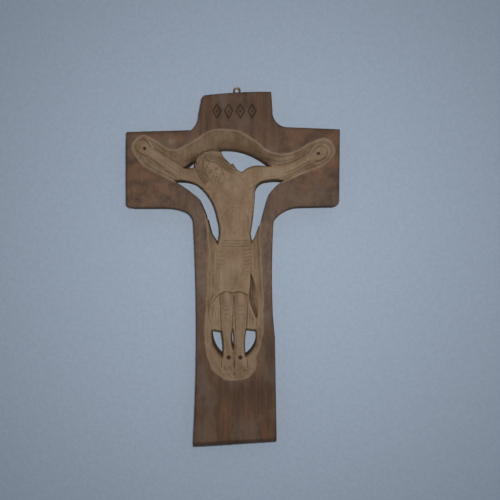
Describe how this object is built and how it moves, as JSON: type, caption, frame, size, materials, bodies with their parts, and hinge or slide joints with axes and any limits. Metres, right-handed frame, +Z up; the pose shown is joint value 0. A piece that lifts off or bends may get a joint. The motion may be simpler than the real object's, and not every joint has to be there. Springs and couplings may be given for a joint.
{
  "type": "wall cross",
  "caption": "Wall-hung carved wooden cross: waisted plank pierced around a pale relief figure, square pegs at hands and feet, brass screw eye on top.",
  "frame": {"origin": "middle of the plank's flat back, at mid height on the shaft's centre line, where it meets the wall", "axes": "+Z up the shaft, +X to the viewer's right, +Y into the wall; the carved front looks along -Y"},
  "size_m": [0.1818, 0.02, 0.31],
  "materials": {
    "dark_wood": "stained skin of a hand-carved plank, waxed, rubbed at the edges",
    "pale_wood": "bare carved wood with fine gouge marks",
    "peg_wood": "dark end grain",
    "brass": "drawn wire, slightly tarnished"
  },
  "bodies": {
    "cross": {"cross_board": "dark_wood", "corpus": "pale_wood", "hand_peg_left": "peg_wood", "hand_peg_right": "peg_wood", "foot_peg_left": "peg_wood", "foot_peg_right": "peg_wood"},
    "screw_eye": {"screw_eye": "brass"}
  },
  "joints": [
    {"name": "eye_turn", "type": "hinge", "parent": "cross", "child": "screw_eye", "pos_m": [0.0015, -0.01, 0.1509], "axis": [0, 0, 1], "range_deg": [-90, 90]}
  ]
}
